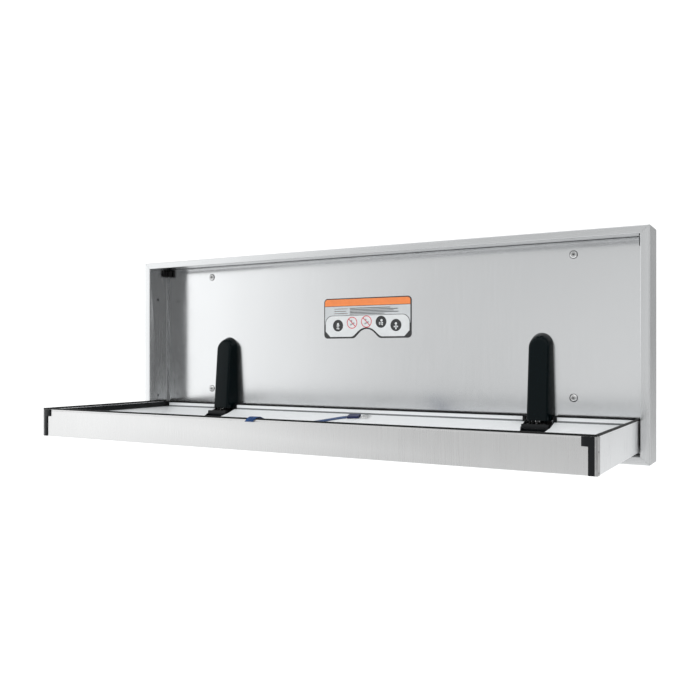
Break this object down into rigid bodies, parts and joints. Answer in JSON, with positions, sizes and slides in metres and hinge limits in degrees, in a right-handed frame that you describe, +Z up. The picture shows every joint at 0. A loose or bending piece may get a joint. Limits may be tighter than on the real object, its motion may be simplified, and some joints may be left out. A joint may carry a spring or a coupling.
{
  "type": "changing table",
  "caption": "Wall-mounted adult-length changing table: shallow stainless cabinet whose concave bed folds down on hinges with gas springs",
  "frame": {"origin": "centre of the cabinet's back face, which lies on the wall", "axes": "+X to the right along the cabinet's length, +Y into the wall, +Z up"},
  "size_m": [1.86, 0.6112, 0.658],
  "materials": {
    "stainless": "vertical and horizontal brushed sheet, satin",
    "back_panel_steel": "fine brushed sheet, bright satin",
    "steel": "bright zinc plated",
    "black_plastic": "moulded, semi-gloss",
    "black_rubber": "matt extruded trim",
    "black_steel": "powder coated, fine texture",
    "liner_plastic": "moulded, light satin",
    "webbing": "woven nylon webbing, blue",
    "navy_plastic": "moulded buckle, semi-gloss",
    "chrome": "polished",
    "plate": null
  },
  "bodies": {
    "cabinet": {"back_panel": "back_panel_steel", "frame_left": "stainless", "frame_top": "stainless", "frame_right": "stainless", "frame_bottom": "stainless", "instruction_plate": "plate", "wall_screw_1": "chrome", "wall_screw_2": "chrome", "wall_screw_3": "chrome", "wall_screw_4": "chrome", "bumper_left": "black_rubber", "bumper_right": "black_rubber", "hinge_bracket_left": "black_steel", "hinge_bracket_right": "black_steel", "hinge_cover_left": "black_plastic", "hinge_cover_right": "black_plastic", "hinge_pin_left": "steel", "hinge_pin_right": "steel", "spring_pin_left": "steel", "spring_pin_right": "steel"},
    "bed": {"liner_floor": "liner_plastic", "liner_front": "liner_plastic", "liner_rear": "liner_plastic", "liner_left": "liner_plastic", "liner_right": "liner_plastic", "bed_bottom_panel": "stainless", "bed_front_panel": "stainless", "bed_rear_panel": "stainless", "trim_front": "black_rubber", "trim_rear_left": "black_rubber", "trim_rear_middle": "black_rubber", "trim_rear_right": "black_rubber", "bed_side_left": "stainless", "bed_side_right": "stainless", "trim_left": "black_rubber", "trim_right": "black_rubber", "side_guard_left": "black_plastic", "side_guard_right": "black_plastic", "corner_guard_left": "black_plastic", "corner_guard_right": "black_plastic", "hinge_arm_left": "black_steel", "hinge_arm_right": "black_steel", "hinge_pocket_left": "black_plastic", "hinge_pocket_right": "black_plastic", "bed_beam_left": "steel", "bed_beam_middle": "steel", "bed_beam_right": "steel", "strap_rear": "webbing", "strap_front": "webbing", "strap_anchor_rear": "chrome", "strap_anchor_front": "chrome", "buckle_socket": "navy_plastic", "buckle_tongue": "navy_plastic"},
    "tube_left": {"spring_tube_left": "black_steel"},
    "rod_left": {"spring_rod_left": "chrome"},
    "tube_right": {"spring_tube_right": "black_steel"},
    "rod_right": {"spring_rod_right": "chrome"}
  },
  "joints": [
    {"name": "bed_fold", "type": "hinge", "parent": "cabinet", "child": "bed", "pos_m": [0, -0.061, -0.2446], "axis": [-1, 0, 0], "range_deg": [0, 90]},
    {"name": "spring_swing_left", "type": "hinge", "parent": "cabinet", "child": "tube_left", "pos_m": [-0.601, -0.026, -0.011], "axis": [1, 0, 0], "range_deg": [-0.2, 0.8]},
    {"name": "spring_stroke_left", "type": "slide", "parent": "tube_left", "child": "rod_left", "axis": [0, -0.0629, -0.998], "range_m": [-0.0005, 0.036]},
    {"name": "spring_swing_right", "type": "hinge", "parent": "cabinet", "child": "tube_right", "pos_m": [0.601, -0.026, -0.011], "axis": [1, 0, 0], "range_deg": [-0.2, 0.8]},
    {"name": "spring_stroke_right", "type": "slide", "parent": "tube_right", "child": "rod_right", "axis": [0, -0.0629, -0.998], "range_m": [-0.0005, 0.036]}
  ],
  "couplings": [
    {"joint": "spring_swing_left", "follows": "bed_fold", "ratio": 0.00562},
    {"joint": "spring_stroke_left", "follows": "bed_fold", "m_per_rad": 0.0225},
    {"joint": "spring_swing_right", "follows": "bed_fold", "ratio": 0.00562},
    {"joint": "spring_stroke_right", "follows": "bed_fold", "m_per_rad": 0.0225}
  ]
}
